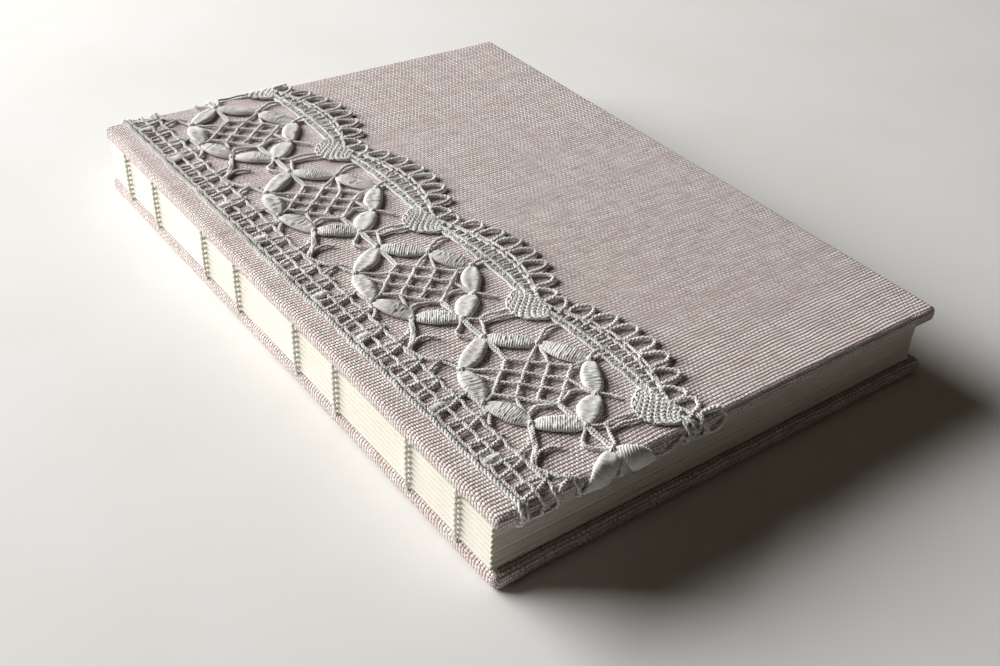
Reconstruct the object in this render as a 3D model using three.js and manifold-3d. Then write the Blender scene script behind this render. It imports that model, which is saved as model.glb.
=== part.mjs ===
// A wedding guest book in an exposed-spine (chain stitch) binding, in millimetres.
// Two linen-covered boards hold eight sewn sections of paper; a cotton lace band crosses the front cover.
// +Y runs along the spine towards the head, +X from the spine to the fore-edge, +Z up, front cover on top.
import * as THREE from "three";
import { mergeVertices } from "three/addons/utils/BufferGeometryUtils.js";
import Module from "manifold-3d";

const wasm = await Module();
wasm.setup();

// Covers
const coverLength = 214; // head to tail
const coverWidth = 150; // spine to fore-edge
const boardThickness = 3;
const boardEdgeRadius = 0.9; // sanded arris of the board
const boardCornerRadius = 1.2; // corner of the board seen from above
const clothThickness = 0.5;
const glueGap = 0.1; // between glued layers
const turnIn = 15; // cloth folded on to the inner face
const endpaperThickness = 0.2;
const endpaperMargin = 4; // cloth left showing round the endpaper

// Sections of paper
const sectionCount = 8;
const sectionThickness = 1.55;
const sectionGap = 0.1;
const foldSlit = 0.1; // between the two halves of a folded section
const overhang = { foreEdge: 4, head: 2.5, spine: 0.4 }; // cover beyond paper; head and tail are alike

// Sewing
const threadDiameter = 0.6;
const threadClearance = 0.08; // all round a thread in its hole
const threadSides = 8;
const stationPairs = 4;
const pairSpacing = 20.5; // between the two stations of a pair
const endStation = 15.5; // from the end of the cover to the first station
const linkStandoff = 0.9; // centre of the chain links, outside the folds
const linkEndGap = 0.3; // between one section's link and the next section's thread
const tieInset = 7; // thread groove in the board, from the spine edge
const tieClearance = 0.1; // from the end of a cover's tie to the chain links, so that the cover can turn right over
const tieSink = 0.05; // the thread lies this far below the board's inner face, in an open groove

// Lace
const laceWidth = 66; // footside to scallop tips
const laceInset = 7; // footside from the spine edge
const laceThickness = 1.1;
const laceClearance = 0.4; // from the ends of the paper to the lace turned in over the cover's edges
const laceRepeat = 51; // one scallop
const scallopDepth = 14;
const scallopSteps = 10;
const scallopFullness = 0.7; // 1 is a half sine wave, less is blunter
const laceStart = 35.5; // centre of the first scallop, from the tail edge

const cutMargin = 1; // how far a cutting solid reaches past what it cuts
const edgeSteps = 3; // straight steps in a rounded edge or corner
const foldSteps = 6; // in the round back of a section
const leastCorner = 0.2;

const linen = new THREE.MeshStandardMaterial({ color: "#b9a3a0", roughness: 0.95, metalness: 0 });
const greyboard = new THREE.MeshStandardMaterial({ color: "#8f8a80", roughness: 0.9, metalness: 0 });
const paper = new THREE.MeshStandardMaterial({ color: "#f3efe2", roughness: 0.85, metalness: 0 });
const cotton = new THREE.MeshStandardMaterial({ color: "#d6d6ce", roughness: 0.95, metalness: 0 });
const thread = new THREE.MeshStandardMaterial({ color: "#c9c5b0", roughness: 0.7, metalness: 0 });

// Derived sizes
const coverThickness = boardThickness + 2 * (clothThickness + glueGap);
const wrap = clothThickness + glueGap; // from the board's face to the outside of the cloth
const threadRadius = threadDiameter / 2;
const holeRadius = threadRadius + threadClearance;
const pitch = sectionThickness + sectionGap;
const endpaperTop = glueGap + endpaperThickness; // endpaper's inner face above the cloth
const blockBottom = coverThickness + endpaperTop + sectionGap;
const blockTop = blockBottom + sectionCount * pitch - sectionGap;
const frontInner = blockTop + sectionGap + endpaperTop; // front cover's inner cloth face
const bookTop = frontInner + coverThickness;
const linkOuter = linkStandoff - overhang.spine + threadRadius; // outside of the links, past the spine edge
const spineX = (linkOuter - coverWidth) / 2; // spine edge of the covers, with the whole book centred on X = 0
const paperWidth = coverWidth - overhang.foreEdge - overhang.spine;
const paperLength = coverLength - 2 * overhang.head;
const laceReturn = overhang.head - laceClearance; // turned in past the head and tail edges

// Y places of the sewing stations, in pairs spread evenly from one end to the other.
function stationPlaces() {
  const places = [];
  const firstPair = endStation + pairSpacing / 2 - coverLength / 2;
  for (let i = 0; i < stationPairs; i++) {
    const centre = firstPair - (2 * firstPair * i) / (stationPairs - 1);
    places.push(centre - pairSpacing / 2, centre + pairSpacing / 2);
  }
  return places;
}
const stations = stationPlaces();

// A closed geometry as a solid for joining and cutting.
function solid(geometry) {
  const bare = geometry.index ? geometry.toNonIndexed() : geometry.clone();
  bare.deleteAttribute("normal");
  bare.deleteAttribute("uv");
  const merged = mergeVertices(bare, 1e-4);
  return new wasm.Manifold(
    new wasm.Mesh({
      numProp: 3,
      vertProperties: merged.attributes.position.array,
      triVerts: new Uint32Array(merged.index.array),
    }),
  );
}

// A solid as a named mesh.
function meshOf(name, body, material) {
  const made = body.getMesh();
  const geometry = new THREE.BufferGeometry()
    .setAttribute("position", new THREE.BufferAttribute(new Float32Array(made.vertProperties), 3))
    .setIndex(new THREE.BufferAttribute(new Uint32Array(made.triVerts), 1));
  geometry.computeVertexNormals();
  const mesh = new THREE.Mesh(geometry, material);
  mesh.name = name;
  return mesh;
}

function box(x0, x1, y0, y1, z0, z1) {
  const geometry = new THREE.BoxGeometry(x1 - x0, y1 - y0, z1 - z0);
  return solid(geometry.translate((x0 + x1) / 2, (y0 + y1) / 2, (z0 + z1) / 2));
}

// A rectangle with round corners as a shape, from (x0, y0) to (x1, y1).
function roundedShape(x0, x1, y0, y1, radius) {
  const shape = new THREE.Shape();
  shape.moveTo(x0 + radius, y0);
  shape.lineTo(x1 - radius, y0);
  shape.absarc(x1 - radius, y0 + radius, radius, -Math.PI / 2, 0);
  shape.lineTo(x1, y1 - radius);
  shape.absarc(x1 - radius, y1 - radius, radius, 0, Math.PI / 2);
  shape.lineTo(x0 + radius, y1);
  shape.absarc(x0 + radius, y1 - radius, radius, Math.PI / 2, Math.PI);
  shape.lineTo(x0, y0 + radius);
  shape.absarc(x0 + radius, y0 + radius, radius, Math.PI, 1.5 * Math.PI);
  return shape;
}

// A flat slab whose long edges are all rounded; x from x0 to x1, y about 0, z from z0 to z1.
function roundedSlab(x0, x1, length, z0, z1, edgeRadius, cornerRadius) {
  const shape = roundedShape(
    x0 + edgeRadius, x1 - edgeRadius, edgeRadius - length / 2, length / 2 - edgeRadius,
    Math.max(cornerRadius - edgeRadius, leastCorner),
  );
  const geometry = new THREE.ExtrudeGeometry(shape, {
    depth: z1 - z0 - 2 * edgeRadius,
    bevelThickness: edgeRadius,
    bevelSize: edgeRadius,
    bevelSegments: edgeSteps,
    curveSegments: edgeSteps,
  });
  return solid(geometry.translate(0, 0, z0 + edgeRadius));
}

// A tube of round section from one point to another.
function rod(from, to, radius) {
  const start = new THREE.Vector3(...from);
  const run = new THREE.Vector3(...to).sub(start);
  const geometry = new THREE.CylinderGeometry(radius, radius, run.length(), threadSides);
  geometry.applyQuaternion(
    new THREE.Quaternion().setFromUnitVectors(new THREE.Vector3(0, 1, 0), run.clone().normalize()),
  );
  return solid(geometry.translate(...start.addScaledVector(run, 0.5).toArray()));
}

// Cover, lying with its outer face on z = 0 and its spine edge on x = 0: the front one is turned over later.
const channelZ = coverThickness - wrap - tieSink - threadRadius; // centre of the thread let into the board

// The grooves in a board: one along the spine and one out to the spine edge at each station.
function channels(radius) {
  const ends = [stations[0], stations[stations.length - 1]];
  const along = rod(
    [tieInset, ends[0] - radius, channelZ], [tieInset, ends[1] + radius, channelZ], radius,
  );
  const out = stations.map((y) => rod([-glueGap, y, channelZ], [tieInset, y, channelZ], radius));
  return out.reduce((all, one) => all.add(one), along);
}

const boardSolid = roundedSlab(
  wrap, coverWidth - wrap, coverLength - 2 * wrap, wrap, coverThickness - wrap,
  boardEdgeRadius, boardCornerRadius,
).subtract(channels(holeRadius));

// Cloth folded round the board, with its turn-ins on the inner face and the board's middle left bare.
const clothSolid = roundedSlab(
  0, coverWidth, coverLength, 0, coverThickness,
  boardEdgeRadius + wrap, boardCornerRadius + wrap,
).subtract(
  roundedSlab(
    clothThickness, coverWidth - clothThickness, coverLength - 2 * clothThickness,
    clothThickness, coverThickness - clothThickness,
    boardEdgeRadius + glueGap, boardCornerRadius + glueGap,
  ),
).subtract(
  box(turnIn, coverWidth - turnIn, turnIn - coverLength / 2, coverLength / 2 - turnIn,
    coverThickness / 2, coverThickness + cutMargin),
).subtract(channels(holeRadius));

// Endpaper pasted over the turn-ins, with its middle pressed down on to the bare board.
const endpaperFace = coverThickness + glueGap;
const pressed = turnIn + glueGap; // edge of the pressed-down middle
const boardFace = coverThickness - clothThickness;
const endpaperSolid = box(
  endpaperMargin, coverWidth - endpaperMargin,
  endpaperMargin - coverLength / 2, coverLength / 2 - endpaperMargin,
  endpaperFace, endpaperFace + endpaperThickness,
).add(
  box(pressed, coverWidth - pressed, pressed - coverLength / 2, coverLength / 2 - pressed,
    boardFace, endpaperFace + endpaperThickness),
).subtract(
  box(pressed + endpaperThickness, coverWidth - pressed - endpaperThickness,
    pressed + endpaperThickness - coverLength / 2, coverLength / 2 - pressed - endpaperThickness,
    boardFace + endpaperThickness, endpaperFace + cutMargin),
);

// The thread that ties a cover on: a run let into the board, with an end at each station at the spine edge.
const tieEnd = linkStandoff - overhang.spine - threadRadius - tieClearance; // just short of the links
const tieSolid = stations.reduce(
  (all, y) => all.add(rod([-tieEnd, y, channelZ], [tieInset, y, channelZ], threadRadius)),
  rod([tieInset, stations[0] - threadRadius, channelZ],
    [tieInset, stations[stations.length - 1] + threadRadius, channelZ], threadRadius),
);

// Lace band: a sleeve round the head, tail and outer face, cut to a straight footside and a scalloped headside.
function laceOutline() {
  const foot = laceInset;
  const valley = laceInset + laceWidth - scallopDepth;
  const reach = coverLength / 2 + 2 * laceThickness;
  const shape = new THREE.Shape();
  shape.moveTo(foot, -reach);
  const step = laceRepeat / scallopSteps;
  // The cover is turned over later, so its tail is at +y here.
  const phase = coverLength / 2 - laceStart - laceRepeat / 2; // a valley
  const first = Math.floor((-reach - phase) / step);
  const last = Math.ceil((reach - phase) / step);
  for (let i = first; i <= last; i++) {
    const y = Math.min(Math.max(phase + i * step, -reach), reach);
    const swell = Math.abs(Math.sin((Math.PI * (y - phase)) / laceRepeat)) ** scallopFullness;
    shape.lineTo(valley + scallopDepth * swell, y);
  }
  shape.lineTo(foot, reach);
  return shape;
}

function sleeve(gap) {
  const half = coverLength / 2 + gap;
  const shape = roundedShape(-half, half, -gap, coverThickness + gap, boardEdgeRadius + wrap + gap);
  const geometry = new THREE.ExtrudeGeometry(shape, {
    depth: laceWidth + 2 * cutMargin, curveSegments: edgeSteps + 1, bevelEnabled: false,
  });
  const turn = new THREE.Matrix4().makeBasis(
    new THREE.Vector3(0, 1, 0), new THREE.Vector3(0, 0, 1), new THREE.Vector3(1, 0, 0),
  );
  return solid(geometry.applyMatrix4(turn).translate(laceInset - cutMargin, 0, 0));
}

const laceSleeve = sleeve(glueGap + laceThickness).subtract(sleeve(glueGap)).subtract(
  box(0, coverWidth, laceReturn - coverLength / 2, coverLength / 2 - laceReturn,
    coverThickness / 2, coverThickness * 2),
);
const lacePrism = solid(
  new THREE.ExtrudeGeometry(laceOutline(), { depth: coverThickness * 3, bevelEnabled: false })
    .translate(0, 0, -coverThickness),
);
const laceSolid = laceSleeve.intersect(lacePrism);

// One section: leaves folded together at a round back, split to the fore-edge, with the sewing run inside the fold.
// Its fold touches x = 0 and its lower face lies on z = 0.
const foldRadius = sectionThickness / 2;
function sectionSolid() {
  const shape = new THREE.Shape();
  shape.moveTo(foldRadius, 0);
  shape.lineTo(paperWidth, 0);
  shape.lineTo(paperWidth, foldRadius - foldSlit / 2);
  shape.lineTo(foldRadius + holeRadius, foldRadius - foldSlit / 2);
  shape.absarc(foldRadius, foldRadius, holeRadius, -Math.asin(foldSlit / 2 / holeRadius),
    Math.asin(foldSlit / 2 / holeRadius), true);
  shape.lineTo(paperWidth, foldRadius + foldSlit / 2);
  shape.lineTo(paperWidth, sectionThickness);
  shape.lineTo(foldRadius, sectionThickness);
  shape.absarc(foldRadius, foldRadius, foldRadius, Math.PI / 2, 1.5 * Math.PI);
  const geometry = new THREE.ExtrudeGeometry(shape, {
    depth: paperLength, curveSegments: foldSteps, bevelEnabled: false,
  });
  const turn = new THREE.Matrix4().makeBasis(
    new THREE.Vector3(1, 0, 0), new THREE.Vector3(0, 0, 1), new THREE.Vector3(0, -1, 0),
  );
  const folded = solid(geometry.applyMatrix4(turn).translate(0, paperLength / 2, 0));
  return stations.reduce(
    (rest, y) => rest.subtract(rod([-cutMargin, y, foldRadius], [foldRadius, y, foldRadius], holeRadius)),
    folded,
  );
}

// The thread of one section: the run inside the fold, an exit at each station and the chain link outside it.
// Links drop towards the section below; the first section's also rise to the front cover's ties.
function sewingSolid(drop, rise) {
  const linkX = -linkStandoff;
  let made = rod([foldRadius, stations[0] - threadRadius, foldRadius],
    [foldRadius, stations[stations.length - 1] + threadRadius, foldRadius], threadRadius);
  for (const y of stations) {
    made = made.add(rod([linkX, y, foldRadius], [foldRadius, y, foldRadius], threadRadius));
    made = made.add(rod([linkX, y, foldRadius + rise], [linkX, y, foldRadius - drop], threadRadius));
  }
  return made;
}

const book = new THREE.Group();
book.position.x = spineX;

const backCover = new THREE.Group();
backCover.add(
  meshOf("back_board", boardSolid, greyboard),
  meshOf("back_cover_cloth", clothSolid, linen),
  meshOf("back_endpaper", endpaperSolid, paper),
  meshOf("back_cover_thread", tieSolid, thread),
);

const frontCover = new THREE.Group(); // the same cover turned over end for end, with the lace on its outer face
frontCover.rotation.x = Math.PI;
frontCover.position.z = bookTop;
frontCover.add(
  meshOf("front_board", boardSolid, greyboard),
  meshOf("front_cover_cloth", clothSolid, linen),
  meshOf("front_endpaper", endpaperSolid, paper),
  meshOf("front_cover_thread", tieSolid, thread),
  meshOf("lace_band", laceSolid, cotton),
);
book.add(backCover, frontCover);

// Sections and their threads, numbered from the front cover down.
const section = sectionSolid();
const reachToNext = pitch - threadRadius - linkEndGap;
const tieHeight = { back: channelZ, front: bookTop - channelZ };
for (let i = 1; i <= sectionCount; i++) {
  const bottom = blockBottom + (sectionCount - i) * pitch;
  const toTie = threadRadius + linkEndGap;
  const drop = i === sectionCount ? bottom + foldRadius - tieHeight.back - toTie : reachToNext;
  const rise = i === 1 ? tieHeight.front - bottom - foldRadius - toTie : 0;
  const leaves = meshOf(`section_${i}`, section, paper);
  leaves.position.set(overhang.spine, 0, bottom);
  const sewing = meshOf(`sewing_thread_${i}`, sewingSolid(drop, rise), thread);
  sewing.position.set(overhang.spine, 0, bottom);
  book.add(leaves, sewing);
}

export default book;
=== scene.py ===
import math

import bpy
import numpy as np
from mathutils import Matrix, Vector


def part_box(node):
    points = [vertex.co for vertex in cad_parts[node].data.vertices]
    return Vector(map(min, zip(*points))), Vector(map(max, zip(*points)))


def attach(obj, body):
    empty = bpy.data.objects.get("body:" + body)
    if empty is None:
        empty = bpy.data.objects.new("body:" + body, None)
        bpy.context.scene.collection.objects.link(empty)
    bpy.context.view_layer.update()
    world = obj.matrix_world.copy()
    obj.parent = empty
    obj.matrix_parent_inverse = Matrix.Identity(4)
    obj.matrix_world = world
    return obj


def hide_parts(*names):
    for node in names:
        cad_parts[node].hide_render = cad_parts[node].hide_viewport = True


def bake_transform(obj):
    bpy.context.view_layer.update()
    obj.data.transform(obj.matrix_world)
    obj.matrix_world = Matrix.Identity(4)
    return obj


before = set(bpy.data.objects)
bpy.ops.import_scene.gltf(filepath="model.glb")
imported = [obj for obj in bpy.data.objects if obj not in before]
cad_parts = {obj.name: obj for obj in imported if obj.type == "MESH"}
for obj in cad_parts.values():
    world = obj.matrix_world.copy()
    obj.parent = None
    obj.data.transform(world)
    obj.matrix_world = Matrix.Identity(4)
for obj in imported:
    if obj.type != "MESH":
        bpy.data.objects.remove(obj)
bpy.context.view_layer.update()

# ---------------------------------------------------------------------------------------------
# Camera. It stands before the spine's tail corner and looks down along the cover towards the far fore-edge,
# rolled a little, with the lens shifted so that the book fills the frame.
MM = 0.001  # metres in a millimetre: sizes are in millimetres unless they say otherwise
camera_place = (-187.9, -252.6, 202.5)
camera_azimuth, camera_drop, camera_roll = math.radians(41.7), math.radians(36.35), math.radians(5.4)
focal_length, camera_shift = 43.57, (-0.072, 0.0235)

level = Vector((math.cos(camera_azimuth), -math.sin(camera_azimuth), 0))
forward = Vector((
    math.sin(camera_azimuth) * math.cos(camera_drop),
    math.cos(camera_azimuth) * math.cos(camera_drop),
    -math.sin(camera_drop),
))
upright = level.cross(forward)
right = math.cos(camera_roll) * level + math.sin(camera_roll) * upright
above = math.cos(camera_roll) * upright - math.sin(camera_roll) * level
camera_data = bpy.data.cameras.new("camera")
camera_data.lens = focal_length
camera_data.shift_x, camera_data.shift_y = camera_shift
camera_data.clip_start = 0.01
camera = bpy.data.objects.new("camera", camera_data)
camera.matrix_world = Matrix.Translation(Vector(camera_place) * MM) @ Matrix(
    (right, above, -forward)
).transposed().to_4x4()
bpy.context.collection.objects.link(camera)
bpy.context.scene.camera = camera


# ---------------------------------------------------------------------------------------------
# Boards: 3 mm grey binder's board, pressed from waste paper, so it is dull grey with darker flecks.
# They are sealed under the linen and the endpapers, and keep their CAD shape.
def linear(hex_colour):
    """The linear colour of an sRGB hex value such as "8f8a80"."""
    parts = [int(hex_colour[i : i + 2], 16) / 255 for i in (0, 2, 4)]
    return tuple(c / 12.92 if c < 0.04045 else ((c + 0.055) / 1.055) ** 2.4 for c in parts) + (1.0,)


def node(tree, kind, inputs=None, **settings):
    """Adds a node of this kind with its settings, and gives each input a value or a link."""
    made = tree.nodes.new("ShaderNode" + kind)
    for key, value in settings.items():
        setattr(made, key, value)
    for key, value in (inputs or {}).items():
        if isinstance(value, bpy.types.NodeSocket):
            tree.links.new(value, made.inputs[key])
        else:
            made.inputs[key].default_value = value
    return made


def material(name):
    """A new material with its node tree, holding only the surface shader and the output."""
    made = bpy.data.materials.new(name)
    made.use_nodes = True
    tree = made.node_tree
    shader = tree.nodes["Principled BSDF"]
    return made, tree, shader


def toned(tree, value, low, high, first, second, most=1.0):
    """A colour that goes smoothly from the first towards the second as a value goes from low to high. The
    share of the second colour goes from 0 to the most there is."""
    share = node(
        tree, "MapRange", {0: value, 1: low, 2: high, 3: 0.0, 4: most},
        interpolation_type="SMOOTHSTEP",
    ).outputs[0]
    return node(tree, "Mix", {0: share, 6: first, 7: second}, data_type="RGBA").outputs[2]


def finish_with(obj, finish):
    """Gives an object its one material."""
    obj.data.materials.clear()
    obj.data.materials.append(finish)


# Greyboard is pulped paper pressed into sheets, which leaves it matt and finely flecked.
pulp_fleck = 0.5  # length of a fleck of pulp in the board
greyboard, tree, shader = material("greyboard")
place = node(tree, "TexCoord").outputs["Object"]
flecks = node(tree, "TexNoise", {"Vector": place, "Scale": 1 / (pulp_fleck * MM), "Detail": 4.0})
tree.links.new(
    toned(tree, flecks.outputs[0], 0.35, 0.7, linear("7c776d"), linear("9b968a")),
    shader.inputs["Base Color"])
shader.inputs["Roughness"].default_value = 0.92
bump = node(tree, "Bump", {"Height": flecks.outputs[0], "Strength": 0.3, "Distance": 0.1 * MM})
tree.links.new(bump.outputs[0], shader.inputs["Normal"])
for name in ("back_board", "front_board"):
    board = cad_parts[name]
    finish_with(board, greyboard)


# ---------------------------------------------------------------------------------------------
# Cover cloth: a plain-woven linen, dyed a dusty mauve, drawn tight over each board and turned in 15 mm.
# Its corners are folded like a parcel's, so the cloth is doubled on the head and tail edges there.
def grid_faces(rows, columns, closed=False):
    """Quads of a grid of points numbered row by row; closed joins its last column to its first."""
    across = columns if closed else columns - 1
    row, column = np.meshgrid(np.arange(rows - 1), np.arange(across), indexing="ij")
    start, end = row * columns + column, row * columns + (column + 1) % columns
    return np.stack([start, end, end + columns, start + columns], axis=-1).reshape(-1, 4)


def piece(name, points, faces, uv=None, crisp=None):
    """A mesh object from points in millimetres, faces by corner, and a flat place for each point.
    crisp is the angle in degrees past which an edge is sharp."""
    mesh = bpy.data.meshes.new(name)
    mesh.from_pydata(np.asarray(points).reshape(-1, 3) * MM, [], faces)
    if uv is not None:
        corner = np.empty(len(mesh.loops), dtype=np.int32)
        mesh.loops.foreach_get("vertex_index", corner)
        layer = mesh.uv_layers.new(name="flat")
        layer.data.foreach_set("uv", np.asarray(uv).reshape(-1, 2)[corner].astype(np.float32).ravel())
    mesh.update()
    mesh.shade_smooth()
    if crisp is not None:
        mesh.set_sharp_from_angle(angle=math.radians(crisp))
    made = bpy.data.objects.new(name, mesh)
    bpy.context.collection.objects.link(made)
    return made


cloth_radius = 1.5  # round edge of a covered board
corner_radius = 1.8
turn_in = 14.9
outer_margin = 6.0  # swept strip of the outer face; inside it the face is one flat polygon
fold_length, fold_rise = 6.5, 0.22  # doubled cloth at each corner
cloth_ripple = 0.035  # unevenness of the cloth on the board's edges
warp_pitch, weft_pitch = 0.714, 1.087  # thread spacing, along X and along Y


def edge_walk(width, length):
    """Foot points, outward directions and corner folds all the way round a rectangle, counter-clockwise.
    Each corner is a fan of directions from one foot point, and each side is a row of foot points."""
    feet, outward, fold = [], [], []
    sides = [((1, -1), (1, 1)), ((1, 1), (-1, 1)), ((-1, 1), (-1, -1)), ((-1, -1), (1, -1))]
    for number, (start, end) in enumerate(sides):
        turn = number * math.pi / 2
        long = length if number % 2 == 0 else width
        steps = np.concatenate([
            [0.0, fold_length - 0.12, fold_length], np.linspace(9, long - 9, int(long / 5)),
            [long - fold_length, long - fold_length + 0.12, long],
        ]) / long
        for step in steps:
            feet.append([(start[i] + (end[i] - start[i]) * step) * (width, length)[i] / 2 for i in (0, 1)])
            outward.append([math.cos(turn), math.sin(turn)])
            near = min(step, 1 - step) * long < fold_length - 0.06
            fold.append(1.0 if near and number % 2 else 0.0)
        for angle in np.linspace(turn, turn + math.pi / 2, 8)[1:-1]:
            feet.append(feet[-1])
            outward.append([math.cos(angle), math.sin(angle)])
            fold.append(0.0 if number % 2 == 0 and angle < turn + 0.5 else 0.6)
    return np.array(feet), np.array(outward), np.array(fold)


def wrapped_cover(name, low, high, outside_up):
    """Cloth round a board. A profile runs from the turn-in's edge, round the board's edge and on to the
    outer face; it is carried round the cover, and the middle of the outer face closes it.
    The flat place of a point is where it lies on the cloth spread out, in millimetres."""
    centre = (low + high) / 2
    width, length, thick = high - low
    quarter = np.linspace(0, math.pi / 2, 7)
    reach = max(cloth_radius, corner_radius)
    inward = np.concatenate([
        [turn_in, 8.0, 3.0], cloth_radius * (1 - np.sin(quarter)),
        cloth_radius * (1 - np.cos(quarter)), [3.0, outer_margin],
    ])
    height = np.concatenate([
        [0, 0, 0], cloth_radius * (1 - np.cos(quarter)),
        thick - cloth_radius + cloth_radius * np.sin(quarter), [thick, thick],
    ])
    along = np.concatenate([[0], np.cumsum(np.hypot(np.diff(inward), np.diff(height)))])
    feet, outward, fold = edge_walk(width - 2 * reach, length - 2 * reach)
    doubled = fold_rise * np.clip((2.6 - inward) / 1.0, 0, 1)[:, None] * fold[None, :]
    ripple = cloth_ripple * np.sin(feet @ [0.31, 0.23] * 2) * np.clip(height / thick, 0, 1)[:, None]
    out = (reach - inward)[:, None] + doubled + ripple * (inward < 2)[:, None]
    half = np.array([width, length]) / 2 - reach

    def placed(beyond):
        """Points this far beyond the feet: outward past them, and evenly towards the middle inside them."""
        beyond = np.broadcast_to(beyond, (len(inward), len(feet)))[..., None]
        return feet * (1 + np.minimum(beyond, 0) / half) + outward * np.maximum(beyond, 0)

    flat = placed(out)
    z = low[2] + height if outside_up else high[2] - height
    points = np.dstack([flat + centre[:2], np.broadcast_to(z[:, None], flat.shape[:2])])
    uv = placed((along[-1] - along - (outer_margin - reach))[:, None])
    rows, columns = points.shape[:2]
    faces = grid_faces(rows, columns, closed=True)
    if not outside_up:
        faces = faces[:, ::-1]
    inmost = np.sort(np.unique(np.round(flat[-1], 3), axis=0, return_index=True)[1]) + (rows - 1) * columns
    middle = inmost if outside_up else inmost[::-1]
    made = piece(name, points, faces.tolist() + [middle.tolist()], uv, crisp=50)
    merge = made.modifiers.new("joined corners", "WELD")
    merge.merge_threshold = 0.002 * MM
    cloth_size = uv.reshape(-1, 2).max(axis=0) - uv.reshape(-1, 2).min(axis=0)
    return made, tuple(float(size) * MM for size in cloth_size)


# Plain-woven linen is matt, and shows a fine grid of uneven threads that each have a shade of their own, with
# painted shade in the low gaps between them. The flat map is in millimetres, so a scale here is a number per
# millimetre.
linen, tree, shader = material("mauve_linen")
spread_out = node(tree, "UVMap", uv_map="flat").outputs[0]
wander = node(tree, "TexNoise", {"Vector": spread_out, "Scale": 0.12, "Detail": 2.0}, noise_dimensions="2D")
swayed = node(tree, "VectorMath", {0: wander.outputs["Color"], 1: (0.9, 0.9, 0), 2: spread_out},
              operation="MULTIPLY_ADD").outputs[0]
counted = node(tree, "VectorMath", {0: swayed, 1: (warp_pitch, weft_pitch, 1)}, operation="DIVIDE").outputs[0]
thread_number = node(tree, "VectorMath", {0: counted}, operation="FLOOR").outputs[0]
within = node(tree, "VectorMath", {0: counted}, operation="FRACTION").outputs[0]
half_turn = node(tree, "VectorMath", {0: within, "Scale": math.pi}, operation="SCALE").outputs[0]
crowns = node(tree, "VectorMath", {0: half_turn}, operation="SINE").outputs[0]
crown = node(tree, "SeparateXYZ", {0: crowns})
number = node(tree, "SeparateXYZ", {0: thread_number})
total = node(tree, "Math", {0: number.outputs[0], 1: number.outputs[1]}, operation="ADD").outputs[0]
odd = node(tree, "Math", {0: total, 1: 1.0}, operation="PINGPONG").outputs[0]
over = node(tree, "Math", {0: odd, 1: -2.0, 2: 1.0}, operation="MULTIPLY_ADD").outputs[0]
under = node(tree, "Math", {0: over, 1: -1.0}, operation="MULTIPLY").outputs[0]
# A thread is highest where it crosses over the other set: its own crown plus the rise of the weave. The weft
# is thicker and slacker, so it stands above the warp and catches more light. This height shapes the bump, and
# it also sets the painted shade in the colour below.
warp_crown = node(tree, "Math", {0: crown.outputs[0], 1: 0.8}, operation="POWER").outputs[0]
weft_crown = node(tree, "Math", {0: crown.outputs[1], 1: 0.65}, operation="POWER").outputs[0]
warp_rise = node(tree, "Math", {0: over, 1: crown.outputs[1]}, operation="MULTIPLY").outputs[0]
weft_rise = node(tree, "Math", {0: under, 1: crown.outputs[0]}, operation="MULTIPLY").outputs[0]
warp = node(tree, "Math", {0: warp_crown, 1: 0.7, 2: warp_rise}, operation="MULTIPLY_ADD").outputs[0]
weft = node(tree, "Math", {0: weft_crown, 1: 1.1, 2: weft_rise}, operation="MULTIPLY_ADD").outputs[0]
weave = node(tree, "Math", {0: warp, 1: weft}, operation="MAXIMUM").outputs[0]
warp_on_top = node(tree, "Math", {0: warp, 1: weft}, operation="GREATER_THAN").outputs[0]
# Each thread has its own shade, and slubs make it lighter for a few millimetres.
warp_shade = node(tree, "TexWhiteNoise", {"W": number.outputs[0]}, noise_dimensions="1D").outputs[0]
weft_seed = node(tree, "Math", {0: number.outputs[1], 1: 517.0}, operation="ADD").outputs[0]
weft_shade = node(tree, "TexWhiteNoise", {"W": weft_seed}, noise_dimensions="1D").outputs[0]
shade = node(tree, "Mix", {0: warp_on_top, 2: weft_shade, 3: warp_shade}, data_type="FLOAT").outputs[0]
long_slubs = node(tree, "VectorMath", {0: counted, 1: (1.0, 0.12, 1)}, operation="MULTIPLY").outputs[0]
wide_slubs = node(tree, "VectorMath", {0: counted, 1: (0.12, 1.0, 1)}, operation="MULTIPLY").outputs[0]
slub_warp = node(tree, "TexNoise", {"Vector": long_slubs, "Scale": 0.8, "Detail": 1.0}, noise_dimensions="2D")
slub_weft = node(tree, "TexNoise", {"Vector": wide_slubs, "Scale": 0.8, "Detail": 1.0}, noise_dimensions="2D")
slub = node(tree, "Mix", {0: warp_on_top, 2: slub_weft.outputs[0], 3: slub_warp.outputs[0]},
            data_type="FLOAT").outputs[0]
fibres = node(tree, "TexNoise", {"Vector": spread_out, "Scale": 5.0, "Detail": 3.0}, noise_dimensions="2D")
body_shade = node(tree, "Math", {0: shade, 1: 0.22, 2: slub}, operation="MULTIPLY_ADD").outputs[0]
fibre_shade = node(
    tree, "Math", {0: fibres.outputs[0], 1: 0.6, 2: body_shade}, operation="MULTIPLY_ADD").outputs[0]
weft_yarn = toned(tree, fibre_shade, 0.6, 1.2, linear("d9c7c2"), linear("fffaf6"))
warp_yarn = toned(tree, fibre_shade, 0.6, 1.2, linear("c8b3ae"), linear("f6e5df"))
on_top = node(tree, "Mix", {0: warp_on_top, 6: weft_yarn, 7: warp_yarn}, data_type="RGBA").outputs[2]
# Painted shade: the colour darkens towards a deep mauve where the weave is low, in the gaps between threads
# and where a thread dips under the other set.
cloth_colour_with_painted_gap_shade = toned(tree, weave, 0.3, 1.35, linear("54423f"), on_top)
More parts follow.
